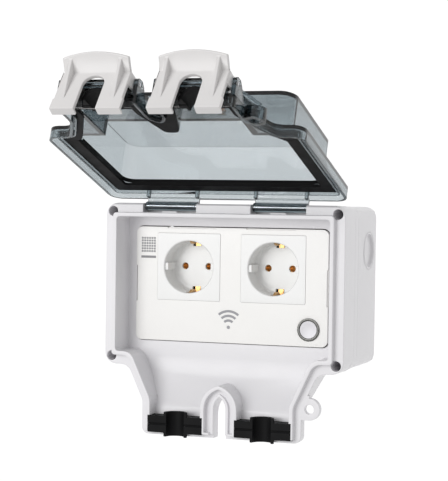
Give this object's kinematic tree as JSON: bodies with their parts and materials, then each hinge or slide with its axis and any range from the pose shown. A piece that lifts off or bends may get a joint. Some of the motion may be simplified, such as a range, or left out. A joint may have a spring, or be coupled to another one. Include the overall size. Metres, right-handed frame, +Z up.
{
  "type": "weatherproof smart socket box",
  "caption": "Weatherproof wall box with a smart outlet module, push button, hinged smoked lid, swing latches and sealed cable exits at the bottom.",
  "frame": {"origin": "centre of the back face that lies on the wall", "axes": "+X right as seen from the room, +Y into the wall, +Z up"},
  "size_m": [0.187, 0.2556, 0.2719],
  "materials": {
    "housing_plastic": "glossy moulded, light cool grey",
    "panel_plastic": "glossy white",
    "socket_plastic": "glossy white",
    "smoked_lid": "smoked transparent, polished",
    "seal_rubber": "matt black",
    "latch_plastic": "satin warm white",
    "screw_steel": "zinc plated",
    "pin_steel": "bright",
    "contact_brass": "bright brass",
    "ring_chrome": "dark chrome",
    "button_plastic": "translucent white with a lilac tint",
    "print_grey": "printed grey",
    "label_grey": "printed dark grey",
    "inner_plastic": "matt grey",
    "board_green": "green solder mask",
    "part_black": "matt black",
    "relay_blue": "matt blue",
    "winding_yellow": "taped yellow",
    "sleeve_navy": "dark sleeve",
    "terminal_ivory": "matt ivory",
    "lens_clear": "clear lens"
  },
  "bodies": {
    "base": {"back_box": "housing_plastic", "housing_gasket": "seal_rubber", "front_housing": "housing_plastic", "housing_screws": "screw_steel", "cable_seal_left": "seal_rubber", "cable_seal_right": "seal_rubber", "smart_panel": "panel_plastic", "socket_insert_left": "socket_plastic", "socket_insert_right": "socket_plastic", "earth_strap_left": "contact_brass", "earth_strap_right": "contact_brass", "live_contacts_left": "contact_brass", "live_contacts_right": "contact_brass", "wifi_symbol": "print_grey", "info_label": "label_grey", "button_ring": "ring_chrome", "button_board": "board_green", "board_spacers": "terminal_ivory", "tact_switch": "part_black", "status_led": "lens_clear", "module_housing": "inner_plastic", "module_screws": "screw_steel", "main_board": "board_green", "relay_left": "relay_blue", "relay_right": "relay_blue", "transformer": "winding_yellow", "capacitor": "sleeve_navy", "wifi_module": "board_green", "terminal_block": "terminal_ivory", "terminal_screws": "screw_steel", "hinge_pin_left": "pin_steel", "hinge_pin_right": "pin_steel"},
    "lid": {"lid_shell": "smoked_lid", "lid_gasket": "seal_rubber", "lid_cable_seal_left": "seal_rubber", "lid_cable_seal_right": "seal_rubber", "latch_pin_left": "pin_steel", "latch_pin_right": "pin_steel"},
    "latch_left": {"latch_left": "latch_plastic"},
    "latch_right": {"latch_right": "latch_plastic"},
    "power_button": {"power_button": "button_plastic"}
  },
  "joints": [
    {"name": "lid_hinge", "type": "hinge", "parent": "base", "child": "lid", "pos_m": [0, -0.0821, 0.05865], "axis": [-1, 0, 0], "range_deg": [-110, 0]},
    {"name": "latch_left_pivot", "type": "hinge", "parent": "lid", "child": "latch_left", "pos_m": [-0.034, -0.22995, 0.13736], "axis": [-1, 0, 0], "range_deg": [-19, 70]},
    {"name": "latch_right_pivot", "type": "hinge", "parent": "lid", "child": "latch_right", "pos_m": [0.034, -0.22995, 0.13736], "axis": [-1, 0, 0], "range_deg": [-19, 70]},
    {"name": "button_press", "type": "slide", "parent": "base", "child": "power_button", "axis": [0, 1, 0], "range_m": [0, 0.0012], "stiffness_N_per_m": 800}
  ]
}
